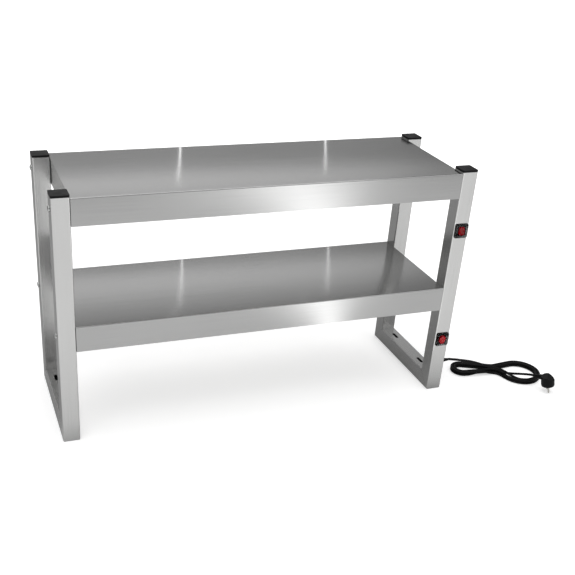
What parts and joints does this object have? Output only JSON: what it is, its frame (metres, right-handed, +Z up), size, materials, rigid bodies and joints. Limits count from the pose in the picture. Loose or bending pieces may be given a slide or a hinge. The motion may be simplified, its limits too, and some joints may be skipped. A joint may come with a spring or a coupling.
{
  "type": "heat lamp food warmer",
  "caption": "Open counter-top gantry of square steel tube whose shelves hold quartz heat lamps underneath, with rocker switches on a post and a coiled mains cord.",
  "frame": {"origin": "on the counter, under the middle of the stand", "axes": "+X along the shelves towards the post with the switches and cord, -Y towards the side with the switches, +Z up"},
  "size_m": [1.3126, 0.4226, 0.6],
  "materials": {
    "frame_steel": "fine vertical brushing, satin",
    "shelf_steel": "fine lengthwise brushing, satin",
    "zinc_steel": "bright zinc plating",
    "reflector": "polished",
    "guard_wire": "bright plated wire",
    "lamp_glass": "warm tinted quartz",
    "ceramic": null,
    "cap": "black, fine grain",
    "switch_black": "black gloss",
    "rocker_red": "translucent red",
    "boot_clear": "clear flexible cover",
    "cord_black": "black satin sheath",
    "pin_nickel": "nickel plated",
    "wiring": "silicone sleeve"
  },
  "bodies": {
    "stand": {"cord_hank": "cord_black", "cord_strain_relief": "cord_black", "cord_to_hank": "cord_black", "cord_to_plug": "cord_black", "left_base_rail": "frame_steel", "left_front_post": "frame_steel", "left_front_post_cap": "cap", "left_rear_post": "frame_steel", "left_rear_post_cap": "cap", "lower_lamp_guard": "guard_wire", "lower_lamp_holder_1": "ceramic", "lower_lamp_holder_2": "ceramic", "lower_lamp_holder_3": "ceramic", "lower_lamp_holder_4": "ceramic", "lower_lamp_wiring": "wiring", "lower_left_front_bolt": "zinc_steel", "lower_left_nut_bar": "zinc_steel", "lower_left_rear_bolt": "zinc_steel", "lower_quartz_lamp_1": "lamp_glass", "lower_quartz_lamp_2": "lamp_glass", "lower_quartz_lamp_3": "lamp_glass", "lower_reflector": "reflector", "lower_right_front_bolt": "zinc_steel", "lower_right_nut_bar": "zinc_steel", "lower_right_rear_bolt": "zinc_steel", "lower_shelf_tray": "shelf_steel", "lower_switch_boot": "boot_clear", "lower_switch_housing": "switch_black", "lower_terminal_block": "ceramic", "plug_body": "cord_black", "plug_pin_far": "pin_nickel", "plug_pin_near": "pin_nickel", "right_base_rail": "frame_steel", "right_front_post": "frame_steel", "right_front_post_cap": "cap", "right_rear_post": "frame_steel", "right_rear_post_cap": "cap", "supply_wiring": "wiring", "upper_lamp_guard": "guard_wire", "upper_lamp_holder_1": "ceramic", "upper_lamp_holder_2": "ceramic", "upper_lamp_holder_3": "ceramic", "upper_lamp_holder_4": "ceramic", "upper_lamp_wiring": "wiring", "upper_left_front_bolt": "zinc_steel", "upper_left_nut_bar": "zinc_steel", "upper_left_rear_bolt": "zinc_steel", "upper_quartz_lamp_1": "lamp_glass", "upper_quartz_lamp_2": "lamp_glass", "upper_quartz_lamp_3": "lamp_glass", "upper_reflector": "reflector", "upper_right_front_bolt": "zinc_steel", "upper_right_nut_bar": "zinc_steel", "upper_right_rear_bolt": "zinc_steel", "upper_shelf_tray": "shelf_steel", "upper_switch_boot": "boot_clear", "upper_switch_housing": "switch_black", "upper_terminal_block": "ceramic"},
    "upper_rocker": {"upper_switch_rocker": "rocker_red"},
    "lower_rocker": {"lower_switch_rocker": "rocker_red"}
  },
  "joints": [
    {"name": "upper_rocker_tilt", "type": "hinge", "parent": "stand", "child": "upper_rocker", "pos_m": [0.48, -0.1578, 0.449], "axis": [1, 0, 0], "range_deg": [0, 18]},
    {"name": "lower_rocker_tilt", "type": "hinge", "parent": "stand", "child": "lower_rocker", "pos_m": [0.48, -0.1578, 0.15], "axis": [1, 0, 0], "range_deg": [-18, 0]}
  ]
}
